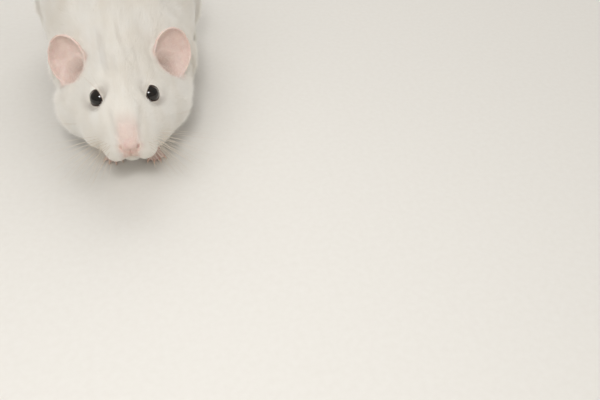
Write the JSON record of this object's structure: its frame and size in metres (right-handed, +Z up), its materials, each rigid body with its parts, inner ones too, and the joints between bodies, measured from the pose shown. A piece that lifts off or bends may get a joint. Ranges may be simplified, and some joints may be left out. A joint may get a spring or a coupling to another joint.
{
  "type": "syrian hamster model",
  "caption": "Life-size still model of a white, black-eyed Syrian hamster, crouching on all fours with its head held low and forward.",
  "frame": {"origin": "on the floor under the middle of the animal's bounding box", "axes": "+Z up, the animal faces -Y, its own left side is +X"},
  "size_m": [0.0642, 0.1336, 0.0579],
  "materials": {
    "fur": "short dense cream-white fur",
    "bare_skin": "soft pink skin, nearly bare, slightly moist on the nose",
    "ear_skin": "thin pinkish-grey skin with a fine down",
    "eye": "wet, glossy, nearly black"
  },
  "bodies": {
    "root": {"head": "fur", "neck": "fur", "trunk": "fur", "lower_jaw": "fur", "front_leg_left": "fur", "front_leg_right": "fur", "hind_leg_left": "fur", "hind_leg_right": "fur", "front_foot_left": "bare_skin", "front_foot_right": "bare_skin", "hind_foot_left": "bare_skin", "hind_foot_right": "bare_skin", "nose": "bare_skin", "tail": "bare_skin", "ear_left": "ear_skin", "ear_right": "ear_skin", "eye_left": "eye", "eye_right": "eye"}
  },
  "joints": []
}
